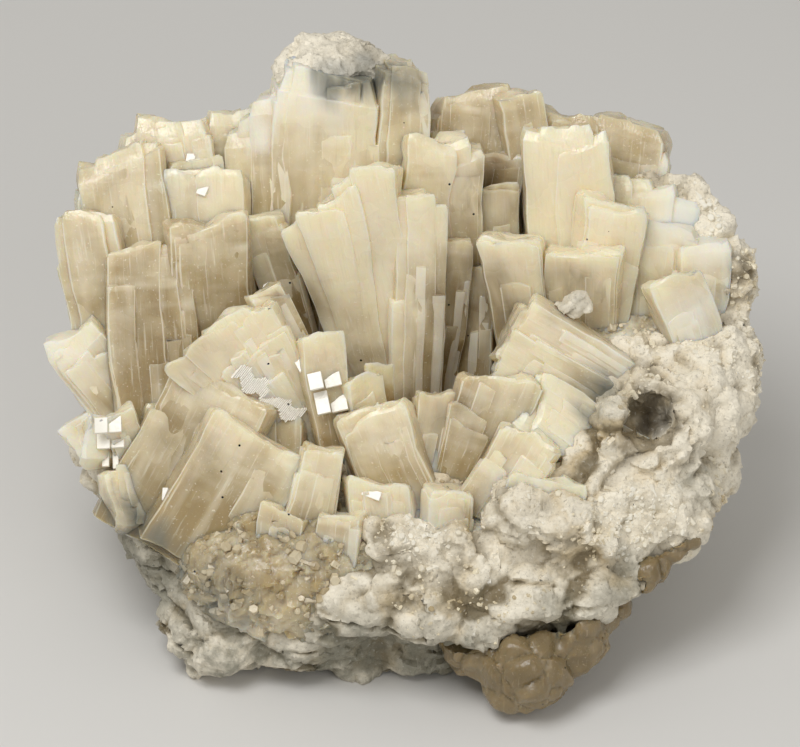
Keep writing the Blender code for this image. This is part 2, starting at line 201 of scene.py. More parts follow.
wallGrowth = [
    grown("wallEdge", (-56, -12, -14), (-62.5, 33, -4), 13, 15, 3, 1.1, 0.6, 1.5, -12, 3, 1, 0.3, 0.4),
    grown("wallMain", (-50, -12, -14), (-56, 46, -8), 19, 16, 3, 0.95, 0.7, 4, -8, 5, 2, 0.3, 0.4),
    grown("wallFace", (-48, -22, -3), (-50.5, 27, 0), 19, 9, 3, 0.9, 0.2, 4, 4, 1.5, 4, 0.6, 0.2),
    grown("wallBehind", (-43, 6, -22), (-48, 51, -12), 20, 16, 3, 0.95, 0.6, 2.5, -4, 5, 2, 0.4, 0.45),
    grown("wallBack", (-33, 10, -25), (-37, 52, -16), 17, 15, 3, 1.0, 1.0, 3, 6, 4, 2, 0.4, 0.35),
    grown("wallBlock", (-36, -8, -13), (-39, 29.5, 1), 18, 12, 2, 0.9, 0.5, 0.6, 3, 1, 1, 0.3, 0.15),
    grown("wallStep", (-38, 10, -18), (-41, 43, -8), 13, 10, 2, 0.9, 0.0, 5, 12, 1.5, 2, 0.4, 0.3),
]
edgeGrowth = [
    grown("edgeKnob", (-57, -6, -9), (-66, 8, -1), 13, 13, 2, 0.9, 0.4, 3, 0, 5, 6, 1.2),
    grown("edgeLow", (-57, -8, -9), (-66.5, -14, -2), 8, 8, 1, 0.9, 0.5, 2, 0, 3.5, 8, 0.9),
    grown("edgeFoot", (-54, -14, -8), (-62, -14, 3), 9, 8, 1, 0.9, 0.5, 2, 20, 2, 8, 0.9),
    grown("edgeBright", (-51, -24, -6), (-57, -8, 7), 7.5, 8, 2, 0.9, 0.6, 2, 6, 1, 5, 0.5),
    grown("edgeUnder", (-46, -26, -6), (-56, -26, 4), 11, 11, 1, 0.9, 0.5, 3, 14, 3, 8, 0.9),
]
frontLeftGrowth = [
    grown("slantBehind", (-50, -33, -1), (-33, -1, 7), 23, 16, 2, 0.95, 0.3, 4, -8, 2, 1, 0.2, 0.3),
    grown("slantFront", (-42, -36, 5), (-28, -12, 13), 19, 13, 1, 1.0, 0.4, 3, 4, 1.5, 1, 0.2, 0.3),
    grown("striated", (-17, -15, 0), (-36, 9, 13), 25, 9, 4, 0.42, 0.45, 3.5, -8, 1.2, 4, 0.6, 0.9),
    grown("striatedEdge", (-16, -5, -2), (-28, 17.5, 8), 8, 8, 2, 0.9, 0.3, 3, 12, 1, 3, 0.4, 0.5),
    grown("brightBlock", (-12, -15, 4), (-16.5, 8, 13), 8, 8, 1, 0.9, 0.6, 2, 10, 1.5, 0, 0.2, 0.5),
    grown("brightFoot", (-6, -15, 2), (-7.5, -1, 10), 7, 6, 1, 0.9, 0.5, 2, 26, 1, 5, 0.4),
    grown("blade", (-3, -10, 0), (-4, 1.5, 8.5), 5, 2, 1, 0.6, 0.5, 0, 24, 1, 0, 0),
]
frontGrowth = [
    grown("peak", (2, -27, 2), (-5.5, -7, 12), 16, 12, 2, 1.1, 0.3, 3, -4, 2, 3, 0.3),
    grown("upright", (5, -27, 0), (8.5, -4.5, 9), 11, 9, 2, 0.9, 0.3, 0.8, 8, 0.8, 2, 0.2),
    grown("leaning", (11, -24, 3), (20.5, -1, 12), 14, 10, 1, 0.6, 0.5, 3, 4, 2, 4, 0.4),
    grown("leaningLow", (17, -28, 8), (26, -13, 15), 11, 9, 1, 0.9, 0.4, 3, -6, 2, 5, 0.5),
    grown("brokenTall", (-21, -40, 9), (-14.5, -13, 17), 10, 8, 2, 1.1, 0.6, 3, 10, 1, 6, 0.6),
    grown("brokenLow", (-13, -42, 12), (-11.5, -28, 19), 8, 7, 1, 1.0, 0.6, 2, -14, 1, 6, 0.6),
    grown("brokenLeft", (-25, -44, 8), (-22.5, -27, 17), 9, 8, 1, 1.0, 0.4, 3, -12, 1, 6, 0.6),
    grown("shards", (-4, -38, 6), (-4, -20, 14), 14, 10, 2, 1.0, 0.3, 4, 6, 1, 8, 0.8),
    grown("shardRight", (8, -36, 8), (9.5, -22, 14), 10, 9, 2, 1.0, 0.6, 4, 12, 1.5, 6, 0.6),
    grown("frontFill", (22, -38, 4), (29, -22, 15), 14, 11, 1, 1.0, 0.5, 3, 4, 3, 8, 0.7),
]
backRightGrowth = [
    grown("ridgePeak", (11, 16, -26), (14.5, 58, -16), 17, 13, 2, 0.9, 0.7, 5, 8, 4, 4, 0.5, 0.25),
    grown("ridgeFront", (15, 10, -24), (18.5, 46, -14), 13, 11, 1, 0.9, 0.2, 3, 2, 2, 2, 0.3, 0.2),
    grown("ridgeSmall", (28, 30, -20), (23.5, 56, -12), 9, 9, 1, 0.9, 0.6, 2, 10, 1.5, 4, 0.4, 0.35),
    grown("ridgeRight", (31, 20, -26), (34, 53, -19), 17, 14, 2, 0.9, 0.4, 2, 0, 3, 2, 0.4, 0.25),
    grown("ridgeFarRight", (43, 16, -26), (47, 50.5, -20), 18, 14, 2, 0.9, 0.0, 6, -6, 4, 2, 0.4, 0.25),
    grown("blockMain", (35, 8, -16), (32.8, 49, -3), 19, 14, 3, 0.9, 0.3, 4, 0, 4, 0, 0, 1.0, 0.9),
    grown("blockRight", (39, 8, -10), (42.5, 34.5, 1), 15, 12, 2, 0.8, 0.3, 2, 8, 1.5, 2, 0.3, 0.85),
    grown("blockLow", (37, 8, -8), (36.5, 25, 4), 16, 9, 2, 0.8, 0.6, 3, -5, 1.5, 2, 0.3, 0.75),
    grown("blockLeft", (26, 2, -9), (22, 26.5, 3), 13, 11, 2, 0.75, 0.6, 1.5, -6, 1, 1, 0.3, 1.0),
    grown("recessSteps", (20, 10, -20), (19.3, 38.5, -9), 8.5, 9, 2, 0.9, 0.8, 3, 6, 1),
    grown("recessWall", (15, -2, -18), (15.5, 22, -9), 9, 9, 2, 0.9, 0.7, 5, -8, 1),
]
rightGrowth = [
    grown("sheaf", (44, -5, 0), (21, 8, 8), 19, 14, 3, 0.9, 0.5, 3, -6, 1.5, 5, 0.5, 0.75),
    grown("sheafLow", (48, -20, 2), (24, -5.5, 9), 15, 13, 2, 0.9, 0.3, 4, 6, 2.5, 4, 0.5, 0.75),
    grown("rightBody", (50, 4, -14), (51, 32, -6), 20, 14, 2, 0.9, 0.2, 6, 4, 4, 4, 0.5, 0.5),
    grown("rightBlock", (62, 0, -4), (53.5, 18.5, 5), 10, 9, 1, 0.9, 0.3, 2, 8, 1.5, 3, 0.3),
    grown("rightWall", (60, 0, -14), (60, 26, -6), 12, 13, 2, 0.9, 0.0, 4, 10, 3),
]
backGrowth = [
    grown("backTower", (-12, 18, -30), (-14, 52, -25), 22, 14, 2, 1.0, 0.5, 6, 184, 4),
    grown("backLeft", (-34, 8, -32), (-36, 36, -27), 20, 12, 2, 0.9, 0.4, 6, 176, 3),
    grown("backMiddle", (6, 10, -36), (8, 42, -32), 22, 12, 2, 0.9, 0.3, 7, 187, 4),
    grown("backRight", (30, 8, -36), (30, 38, -31), 20, 12, 2, 0.9, 0.6, 6, 174, 3),
    grown("backCorner", (50, 6, -26), (54, 28, -20), 15, 12, 1, 0.9, 0.4, 6, 150, 3),
    grown("leftCorner", (-54, 0, -22), (-60, 20, -16), 15, 12, 1, 0.9, 0.4, 6, 215, 3),
]

columnLook = {
    "overlap": 1.6,  # neighbouring columns share this much of their width
    "fullness": 1.2,  # how far a crystal fills the gaps beside it
    "twist": 2,
    "inset": 0.1,  # how far the end pulls in, in half widths
    "spacing": 1.0,  # mm between points round a column
    "levelHeight": 3.0,
    "rounding": 0.22,
    "fluting": 0.12,  # depth of the fine growth lines
    "swelling": 0.25,
    "endRoughness": 0.8,
    "warp": 0.9,
}
plateLook = {
    "spacing": 1.5,
    "levelHeight": 4.5,
    "rounding": 0.16,
    "width": (0.2, 0.62),
    "length": (0.5, 1.004),
    "inset": 0.2,
    "shoulder": 0.4,
}

column = namedtuple(
    "column",
    "foot axis side front length sideways forward halfWidth halfDepth taper shoulder slope corner inset "
    "seed pale hood",
)


def columnOf(crystal, index, seed):
    foot, tip = onDisplay(*crystal.foot), onDisplay(*crystal.tip)
    axis = (tip - foot).normalized()
    seen = onDisplay(0, 0, 1) - onDisplay(0, 0, 0)
    front = (seen - axis * seen.dot(axis)).normalized()
    twist = math.radians(crystal.turn + columnLook["twist"] * jitter(seed, 1))
    front = Matrix.Rotation(twist, 3, axis) @ front
    share = index / (crystal.columns - 1) if crystal.columns > 1 else 0.5
    halfWidth = crystal.width / crystal.columns / 2 * columnLook["fullness"]
    if crystal.columns > 1:
        halfWidth *= columnLook["overlap"]
    drop = crystal.step * abs(share - crystal.crown) + 0.6 * (1 + jitter(seed, 4))
    return column(
        foot=foot,
        axis=axis,
        side=axis.cross(front),
        front=front,
        length=(tip - foot).length - drop,
        sideways=(share - 0.5) * (crystal.width - 2 * halfWidth),
        forward=crystal.depth * 0.035 * jitter(seed, 3),
        halfWidth=halfWidth,
        halfDepth=crystal.depth / 2 * (0.9 + 0.1 * jitter(seed, 2)),
        taper=crystal.taper if crystal.taper < 0.7 else 0.5 + 0.5 * crystal.taper,
        shoulder=crystal.shoulder * 0.5,
        slope=halfWidth * 0.22 * jitter(seed, 5),
        corner=0.87 + 0.06 * jitter(seed, 6),
        inset=columnLook["inset"] + 0.01 * crystal.shoulder,
        seed=seed,
        pale=crystal.pale + 0.12 * jitter(seed, 9),
        hood=crystal.hood,
    )


def platesOn(trunk, count, lift):  # thin plates that stand a little proud of a column's faces
    dice = random.Random(trunk.seed)
    for number in range(count):
        halfWidth = trunk.halfWidth * dice.uniform(*plateLook["width"])
        room = trunk.halfWidth * (trunk.corner if number % 3 else 1) - halfWidth * 0.6
        sideways = dice.uniform(-room, room)
        halfDepth = min(trunk.halfDepth * 0.5, 2.5)
        rise = 0.6 * lift * dice.uniform(0.15, 1)
        forward = trunk.halfDepth + rise - halfDepth
        edge = max(0, abs(sideways) / trunk.halfWidth - trunk.corner)
        forward -= edge / (1 - trunk.corner) * trunk.halfDepth
        length = trunk.length * dice.uniform(*plateLook["length"])
        yield trunk._replace(
            length=length,
            sideways=trunk.sideways + sideways,
            forward=trunk.forward + forward,
            halfWidth=halfWidth,
            halfDepth=halfDepth,
            shoulder=plateLook["shoulder"],
            slope=halfWidth * dice.uniform(-0.2, 0.2),
            corner=dice.uniform(0.75, 0.9),
            inset=plateLook["inset"],
            seed=trunk.seed * 31 + number,
            pale=trunk.pale + dice.uniform(-0.06, 0.12),
        )


def outlineOf(shape, spacing, rounding):
    # points round a column, anticlockwise: how deep, how wide, and whether on a rounded edge
    deep, wide, corner = shape.halfDepth, shape.halfWidth, shape.corner * shape.halfWidth
    corners = [(deep, corner), (0, wide), (-deep, corner), (-deep, -corner), (0, -wide), (deep, -corner)]
    corners = [np.array(place, float) for place in corners]
    outline, onEdge = [], []
    for index, place in enumerate(corners):
        before, after = corners[index - 1] - place, corners[(index + 1) % 6] - place
        reach = min(rounding, 0.3 * np.linalg.norm(before), 0.3 * np.linalg.norm(after))
        start = place + before / np.linalg.norm(before) * reach
        end = place + after / np.linalg.norm(after) * reach
        outline += [start, place * 0.5 + (start + end) * 0.25, end]
        onEdge += [1, 1, 1]
        gap = np.linalg.norm(after) - 2 * reach
        count = max(1, round(gap / spacing))
        for number in range(1, count):
            outline.append(end + after / np.linalg.norm(after) * gap * number / count)
            onEdge.append(0)
    return np.array(outline), np.array(onEdge)


blankTubes = {}


def blankTube(points, levels):  # a closed tube with rings up its length and two rings in its end
    if (points, levels) not in blankTubes:
        shape = bmesh.new()
        bmesh.ops.create_cone(shape, cap_ends=True, segments=points, radius1=1, radius2=1, depth=1)
        upright = [edge for edge in shape.edges if abs(edge.verts[0].co.z - edge.verts[1].co.z) > 0.5]
        bmesh.ops.subdivide_edges(shape, edges=upright, cuts=levels - 2, use_grid_fill=True)
        end = [face for face in shape.faces if face.normal.z > 0.9 and len(face.verts) == points]
        for thickness in (0.3, 0.35):
            bmesh.ops.inset_individual(shape, faces=end, thickness=thickness)
        bmesh.ops.poke(shape, faces=end)
        blankTubes[points, levels] = meshFrom("blankTube", shape)
    return blankTubes[points, levels]


def columnMesh(shape, look, number):
    outline, onEdge = outlineOf(shape, look["spacing"], look["rounding"])
    count = len(outline)
    body = max(3, round(shape.length / look["levelHeight"]))
    levels = body + 3
    mesh = blankTube(count, levels).copy()
    blank = pointsOf(mesh)
    angle = np.arctan2(blank[:, 1], blank[:, 0]) - math.pi / 2
    index = np.round(angle * count / (2 * math.pi)).astype(int) % count
    level = np.round((blank[:, 2] + 0.5) * (levels - 1)).astype(int)
    radius = np.hypot(blank[:, 0], blank[:, 1])
    inner = radius < 0.95

    ahead, behind = np.roll(outline, -1, axis=0), np.roll(outline, 1, axis=0)
    along = ahead - behind
    outward = np.stack([along[:, 1], -along[:, 0]], axis=1)
    outward /= np.linalg.norm(outward, axis=1)[:, None]
    walked = np.cumsum(np.linalg.norm(outline - behind, axis=1))

    # heights of the rings, and how much each is pulled in
    soft = min(0.3, 0.35 * shape.shoulder)
    lower = shape.length - shape.shoulder - soft
    heights = np.concatenate([np.linspace(0, lower, body), [lower + 2 * soft, shape.length - soft * 0.6, shape.length]])
    pulled = np.concatenate([np.zeros(body), [0.22, 0.86, 1.0]]) * shape.inset
    topTilt = shape.slope * outline[index, 1] / shape.halfWidth
    height = heights[level] + topTilt * np.minimum(1, heights[level] / lower)
    shrink = (1 - pulled[level]) * np.where(inner, radius, 1)
    flat = outline[index] * shrink[:, None]

    # fine lines run the length of each face, and the end is uneven
    wander = np.full(len(blank), shape.seed * 5.7)
    lines = softNoise(np.stack([walked[index] * 1.0, height * 0.07, wander], axis=1), 1.1, 3)
    swell = softNoise(np.stack([walked[index] * 0.5, height * 0.3, wander], axis=1), 2.5, 5)
    push = (columnLook["fluting"] * lines + columnLook["swelling"] * swell) * ~inner
    flat += outward[index] * push[:, None]
    rough = softNoise(np.stack([flat[:, 0], flat[:, 1], wander], axis=1), 4.0, 7)
    rough += 0.9 * (cellNoise(np.stack([flat[:, 0], flat[:, 1], wander], axis=1), 3.2, 8)[1] - 0.5) * ~inner
    height = height + columnLook["endRoughness"] * rough * (heights[level] > lower)
    # the end is cut back so that the display side is the longer one
    seen = onDisplay(0, 0, 1) - onDisplay(0, 0, 0)
    cut = shape.hood * shape.axis.dot(seen) / max(0.3, shape.front.dot(seen))
    height = height * (1 + cut * (flat[:, 0] + 0.8 * shape.halfDepth) / shape.length)

    grow = shape.taper + (1 - shape.taper) * height / shape.length
    points = (
        np.array(shape.foot)
        + height[:, None] * np.array(shape.axis)
        + ((shape.sideways + flat[:, 1]) * grow)[:, None] * np.array(shape.side)
        + ((shape.forward + flat[:, 0]) * grow)[:, None] * np.array(shape.front)
    )
    bend = [softNoise(points, 11, 50 + turn) + 0.4 * softNoise(points, 4, 53 + turn) for turn in range(3)]
    points += columnLook["warp"] * np.stack(bend, axis=1)
    setPoints(mesh, points * mm)

    # each face remembers its column, and whether it is an edge or the end
    edgeFace = np.empty(len(mesh.polygons), np.int32)
    for face in mesh.polygons:
        corners = list(face.vertices)
        top = level[corners].min() >= body - 1
        edge = onEdge[index[corners]].min() and not inner[corners].any()
        edgeFace[face.index] = 2 if top else int(edge)
    mesh.attributes.new("crystal", "INT", "FACE").data.foreach_set(
        "value", np.full(len(mesh.polygons), number, np.int32)
    )
    mesh.attributes.new("edge", "INT", "FACE").data.foreach_set("value", edgeFace)
    return mesh


def cornerTable(mesh):
    vertex = np.empty(len(mesh.loops), np.int32)
    mesh.loops.foreach_get("vertex_index", vertex)
    sizes = np.empty(len(mesh.polygons), np.int32)
    mesh.polygons.foreach_get("loop_total", sizes)
    return vertex, np.repeat(np.arange(len(sizes)), sizes)


def writeGrain(mesh, columns):
    # "grain" is the place in the crystal's own axes in mm; "tone" is the share of its length, its own
    # random number, and 0.5 on a rounded edge or 1 on the end
    vertex, face = cornerTable(mesh)
    number = np.empty(len(mesh.polygons), np.int32)
    mesh.attributes["crystal"].data.foreach_get("value", number)
    edge = np.empty(len(mesh.polygons), np.int32)
    mesh.attributes["edge"].data.foreach_get("value", edge)
    number = number[face]
    table = {
        field: np.array([tuple(getattr(shape, field)) for shape in columns])
        for field in ("foot", "axis", "side", "front")
    }
    length = np.array([shape.length for shape in columns])
    own = np.array([shape.pale for shape in columns])
    away = pointsOf(mesh)[vertex] / mm - table["foot"][number]
    grain = np.stack(
        [np.einsum("ij,ij->i", away, table[field][number]) for field in ("side", "front", "axis")], axis=1
    )
    tone = np.stack([grain[:, 2] / length[number], own[number], edge[face] / 2], axis=1)
    grain[:, :2] += own[number][:, None] * 90
    writeCorners(mesh, "grain", grain)
    writeCorners(mesh, "tone", tone)


def writeCorners(mesh, name, values):
    attribute = mesh.attributes.new(name, "FLOAT_VECTOR", "CORNER")
    attribute.data.foreach_set("vector", values.astype(np.float32).ravel())


def writeOwnTone(mesh, tone):  # for what has no crystal axes
    grain = pointsOf(mesh)[cornerTable(mesh)[0]] / mm
    writeCorners(mesh, "grain", grain)
    writeCorners(mesh, "tone", np.broadcast_to(tone, grain.shape))


# Soft round patches laid on the display face: centre, radius in mm and strength
frostPatches = [
    ((-24, 58, -3), 6, 0.8),
    ((-29, 49, -3), 4, 0.9),
    ((-16, 53, 0), 5, 0.8),
    ((-16, 64, -6), 7, 0.9),
    ((48, -28, 5), 12, 0.9),
    ((63, 8, 0), 10, 0.7),
    ((66, -8, 0), 13, 0.9),
    ((62, 34, -10), 12, 1.0),
    ((24, -30, 8), 10, 0.7),
    ((4, -33, 12), 9, 0.9),
    ((-36, -56, 5), 9, 0.6),
    ((-66, 4, -3), 8, 0.5),
    ((-64, -12, 0), 8, 0.6),
    ((48, 2, 2), 9, 0.4),
]
greyPatches = [
    ((-14, 59, 2), 4, 0.8),
    ((-6, 60, 2), 5, 0.9),
    ((1, 58, 2), 4, 0.7),
    ((40, -6, 4), 6, 0.6),
    ((-50, -38, 0), 9, 0.9),
    ((-10, -52, 0), 9, 0.8),
    ((10, -57, 0), 10, 0.9),
    ((-56, -30, 0), 8, 0.8),
    ((45, -42, 0), 8, 0.7),
    ((30, -46, 4), 7, 0.7),
    ((-34, -44, 6), 7, 0.5),
    ((36, -20, 8), 4, 0.5),
    ((58, -22, 4), 5, 0.5),
]
# Painted shade: patches in the recesses between the crystals and in the small cavity, where shade falls
recessShadePatches = [
    ((14, 12, -8), 12, 0.7),
    ((10, -8, -4), 9, 0.7),
    ((18, 36, -14), 9, 0.6),
    ((34, 14, -2), 8, 0.5),
    ((-22, 14, -4), 8, 0.5),
    ((51, -8, 2), 5, 1.0),
    ((46, -14, 6), 4, 0.6),
    ((-50, 6, 0), 9, 0.3),
    ((-42, 2, 4), 9, 0.3),
    ((-44, -16, 8), 9, 0.3),
    ((-20, -34, 8), 9, 0.35),
    ((-32, -40, 8), 10, 0.35),
]


def patchValue(places, patches):
    total = np.zeros(len(places))
    seen = np.array(onDisplay(0, 0, 1) - onDisplay(0, 0, 0))
    for centre, radius, strength in patches:
        apart = places - np.array(onDisplay(*centre))
        apart -= 0.6 * (apart @ seen)[:, None] * seen  # a patch reaches further in depth than across
        away = np.linalg.norm(apart, axis=1) / radius
        fade = np.clip(1.5 - away, 0, 1)
        total = np.maximum(total, strength * fade * fade * (3 - 2 * fade))
    return total


def writeMarksAndShade(mesh):  # frost, grey band and painted shade in the recesses and the cavity
    places = pointsOf(mesh) / mm
    ragged = 0.5 * softNoise(places, 4, 21) + 0.35 * softNoise(places, 1.6, 22)
    values = []
    for patches in (frostPatches, greyPatches, recessShadePatches):
        value = patchValue(places, patches)
        values.append(np.clip(value + ragged * np.minimum(1, 2 * value), 0, 1))
    mesh.attributes.new("marksAndShade", "FLOAT_VECTOR", "POINT").data.foreach_set(
        "vector", np.stack(values, axis=1).astype(np.float32).ravel()
    )


def growCrystals(name, crystals, firstSeed):
    columns, seed = [], firstSeed
    growth = bpy.data.collections.new("growing")
    pieces = []
    for crystal in crystals:
        for index in range(crystal.columns):
            trunk = columnOf(crystal, index, seed)
            seed += 1
            for shape in [trunk, *platesOn(trunk, crystal.plates, crystal.lift)]:
                look = columnLook if shape is trunk else plateLook
                mesh = columnMesh(shape, look, len(columns))
                columns.append(shape)
                pieces.append(objectOf("growing", mesh))
    cluster = pieces[0]
    for piece in pieces[1:]:
        growth.objects.link(piece)
    union = cluster.modifiers.new("grown together", "BOOLEAN")
    union.operation = "UNION"
    union.solver = "MANIFOLD"
    union.operand_type = "COLLECTION"
    union.collection = growth
    applied(cluster)
    for piece in pieces[1:]:
        bpy.data.objects.remove(piece)
    bpy.data.collections.remove(growth)
    cluster.name = name
    writeGrain(cluster.data, columns)
    writeMarksAndShade(cluster.data)
    return smoothShaded(cluster, 24), seed


# Materials


def tree(name):
    material = bpy.data.materials.new(name)
    material.use_nodes = True
    return material, material.node_tree


def add(nodes, kind, sockets=None, **settings):
    node = nodes.nodes.new("ShaderNode" + kind)
    for key, value in settings.items():
        setattr(node, key, value)
    for key, value in (sockets or {}).items():
        if isinstance(value, bpy.types.NodeSocket):
            nodes.links.new(value, node.inputs[key])
        else:
            node.inputs[key].default_value = value
    return node


def mixColour(nodes, share, one, other, blend="MIX"):
    node = add(nodes, "Mix", data_type="RGBA", blend_type=blend)
    for key, value in ((0, share), (6, one), (7, other)):
        if isinstance(value, bpy.types.NodeSocket):
            nodes.links.new(value, node.inputs[key])
        else:
            node.inputs[key].default_value = value
    return node.outputs[2]


def spread(nodes, value, low, high, newLow=0.0, newHigh=1.0):
    sockets = {"Value": value, "From Min": low, "From Max": high, "To Min": newLow, "To Max": newHigh}
    return add(nodes, "MapRange", sockets).outputs[0]


def maths(nodes, operation, one, other=0.0, third=0.1):
    return add(nodes, "Math", {0: one, 1: other, 2: third}, operation=operation).outputs[0]


def noiseAt(nodes, place, size, detail=3.0, rough=0.5):
    sockets = {"Vector": place, "Scale": 1 / size, "Detail": detail, "Roughness": rough}
    return add(nodes, "TexNoise", sockets).outputs["Fac"]


def placeInMm(nodes):
    place = add(nodes, "TexCoord").outputs["Object"]
    return add(nodes, "VectorMath", {0: place, 3: 1000.0}, operation="SCALE").outputs[0]


crystalFinish = {
    "cream": (0.88, 0.79, 0.58, 1),
    "tan": (0.42, 0.32, 0.165, 1),
    # brown is painted shade for the recesses
    "brown": (0.21, 0.14, 0.055, 1),
    "milk": (0.90, 0.83, 0.66, 1),
    "edge": (0.94, 0.89, 0.77, 1),
    "frost": (0.89, 0.85, 0.74, 1),
    "grey": (0.20, 0.20, 0.165, 1),
    "speck": (0.015, 0.012, 0.01, 1),
    "milkiness": 0.9,
    "glow": 0.005,
}


def witheriteMaterial(name, finish):
    material, nodes = tree(name)
    shader = nodes.nodes["Principled BSDF"]
    place = placeInMm(nodes)
    grain = add(nodes, "Attribute", attribute_name="grain").outputs["Vector"]
    tone = add(nodes, "SeparateXYZ", {0: add(nodes, "Attribute", attribute_name="tone").outputs["Vector"]})
    marksAndShade = add(nodes, "SeparateXYZ", {0: add(nodes, "Attribute", attribute_name="marksAndShade").outputs["Vector"]})
    share, own, edge = tone.outputs
    # deep carries the painted shade of the recesses
    frost, grey, deep = marksAndShade.outputs

    # long streaks follow the growth, cross bands mark where it paused
    streakPlace = add(nodes, "VectorMath", {0: grain, 1: (1.0, 1.0, 0.06)}, operation="MULTIPLY").outputs[0]
    streaks = noiseAt(nodes, streakPlace, 0.7, 2, 0.6)
    broadStreaks = noiseAt(nodes, streakPlace, 3.2, 1)
    bandPlace = add(nodes, "VectorMath", {0: grain, 1: (0.25, 0.25, 1.0)}, operation="MULTIPLY").outputs[0]
    bands = noiseAt(nodes, bandPlace, 3.5, 2)
    clouds = noiseAt(nodes, place, 8, 2)
    sugar = noiseAt(nodes, place, 0.5, 1)

    # tan towards each crystal's foot, cream towards its end: partly the crystal's own zoning, partly painted shade low
    # among the feet
    level = maths(nodes, "ADD", share, maths(nodes, "MULTIPLY", maths(nodes, "SUBTRACT", clouds, 0.5), 1.1))
    level = maths(nodes, "ADD", level, maths(nodes, "MULTIPLY", maths(nodes, "SUBTRACT", own, 0.5), 1.1))
    colour = mixColour(nodes, spread(nodes, level, 0.3, 1.15), finish["tan"], finish["cream"])
    milky = maths(nodes, "MULTIPLY", spread(nodes, bands, 0.5, 0.75), spread(nodes, share, 0.5, 1))
    colour = mixColour(nodes, maths(nodes, "MULTIPLY", milky, 0.7), colour, finish["milk"])
    colour = mixColour(nodes, spread(nodes, broadStreaks, 0.5, 0.75, 0, 0.4), colour, finish["milk"])
    colour = mixColour(nodes, spread(nodes, streaks, 0.6, 0.8, 0, 0.7), colour, finish["edge"])
    colour = mixColour(nodes, spread(nodes, sugar, 0.66, 0.8, 0, 0.7), colour, finish["edge"])
    colour = mixColour(nodes, spread(nodes, streaks, 0.4, 0.2, 0, 0.2), colour, finish["tan"])
    # painted shade: brown in the recesses
    colour = mixColour(nodes, maths(nodes, "MULTIPLY", deep, 0.75), colour, finish["brown"])
    # paler on the rounded edges: partly abraded edges, partly a painted highlight along them
    rim = maths(nodes, "COMPARE", edge, 0.5)
    colour = mixColour(nodes, maths(nodes, "MULTIPLY", rim, 0.5), colour, finish["edge"])
    colour = mixColour(nodes, frost, colour, finish["frost"])
    colour = mixColour(nodes, grey, colour, finish["grey"])
    speckCells = add(nodes, "TexVoronoi", {"Vector": place, "Scale": 0.22})
    speck = maths(nodes, "LESS_THAN", speckCells.outputs["Distance"], 0.055)
    speckPick = add(nodes, "SeparateColor", {0: speckCells.outputs["Color"]}).outputs[0]
    speck = maths(nodes, "MULTIPLY", speck, maths(nodes, "LESS_THAN", speckPick, 0.35))
    colour = mixColour(nodes, speck, colour, finish["speck"])
    nodes.links.new(colour, shader.inputs["Base Color"])

    rough = spread(nodes, clouds, 0.3, 0.7, 0.14, 0.36)
    rough = maths(nodes, "ADD", rough, maths(nodes, "MULTIPLY", frost, 0.4))
    nodes.links.new(rough, shader.inputs["Roughness"])
    height = maths(nodes, "ADD", maths(nodes, "MULTIPLY", streaks, 0.12), maths(nodes, "MULTIPLY", sugar, 0.06))
    height = maths(nodes, "ADD", height, maths(nodes, "MULTIPLY", bands, 0.3))
    bump = add(nodes, "Bump", {"Height": height, "Distance": mm, "Strength": 0.9})
    nodes.links.new(bump.outputs[0], shader.inputs["Normal"])
    shader.inputs["IOR"].default_value = 1.53
    shader.inputs["Subsurface Weight"].default_value = finish["milkiness"]
    shader.inputs["Subsurface Radius"].default_value = (1.0, 0.75, 0.42)
    shader.inputs["Subsurface Scale"].default_value = finish["glow"]
    return material


rockFinish = {
    "white": (0.93, 0.86, 0.71, 1),
    "tan": (0.62, 0.50, 0.31, 1),
    "valleyShade": (0.24, 0.185, 0.10, 1),
    "grey": (0.24, 0.23, 0.175, 1),
    # dark serves both the real dark grains and the painted shade in the cavity and recesses
    "dark": (0.12, 0.10, 0.07, 1),
    "paintedGlint": (0.95, 0.93, 0.87, 1),
}


def facetsAt(nodes, place, size):  # a height that makes every grain of this size one flat tilted facet
    cells = add(nodes, "TexVoronoi", {"Vector": place, "Scale": 1 / size})
    middle = add(nodes, "VectorMath", {0: cells.outputs["Position"], 3: 1.0}, operation="SCALE").outputs[0]
    apart = add(nodes, "VectorMath", {0: place, 1: middle}, operation="SUBTRACT").outputs[0]
    tilt = add(nodes, "VectorMath", {0: cells.outputs["Color"], 1: (0.5, 0.5, 0.5)}, operation="SUBTRACT")
    return add(nodes, "VectorMath", {0: apart, 1: tilt.outputs[0]}, operation="DOT_PRODUCT").outputs["Value"]


